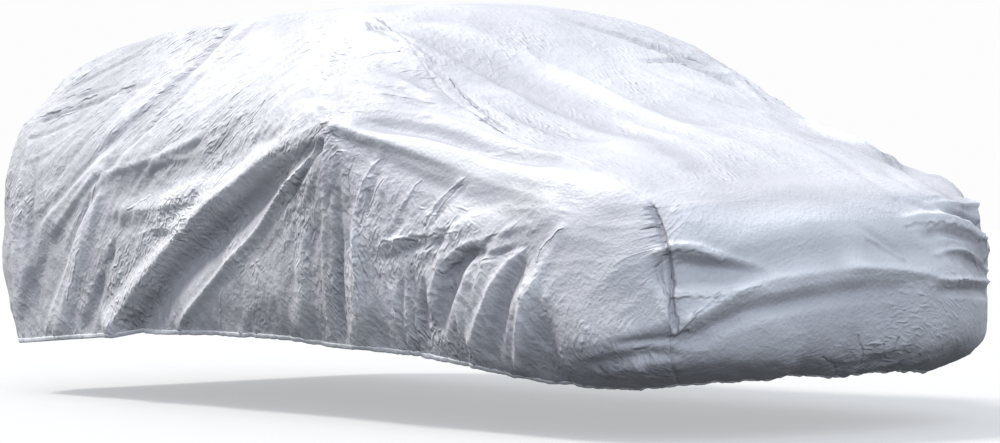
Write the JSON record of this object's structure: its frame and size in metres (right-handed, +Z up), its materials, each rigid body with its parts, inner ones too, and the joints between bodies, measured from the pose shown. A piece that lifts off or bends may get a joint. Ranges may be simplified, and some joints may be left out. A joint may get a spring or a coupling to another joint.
{
  "type": "fitted car cover",
  "caption": "Fitted car cover in silver-grey coated cloth, draped as in use: a hollow shell of sewn panels with an elastic hem, open underneath.",
  "frame": {"origin": "underside of the cover's top on the centre line, where the roof carries it", "axes": "+X towards the front of the cover, +Y towards its left side, +Z up"},
  "size_m": [4.3156, 1.9906, 1.2745],
  "materials": {
    "silver_cloth": "matt silver-grey coated non-woven cloth, finely crinkled, slightly brighter on the creases"
  },
  "bodies": {
    "root": {"centre_panel": "silver_cloth", "right_side_panel": "silver_cloth", "left_side_panel": "silver_cloth"}
  },
  "joints": []
}
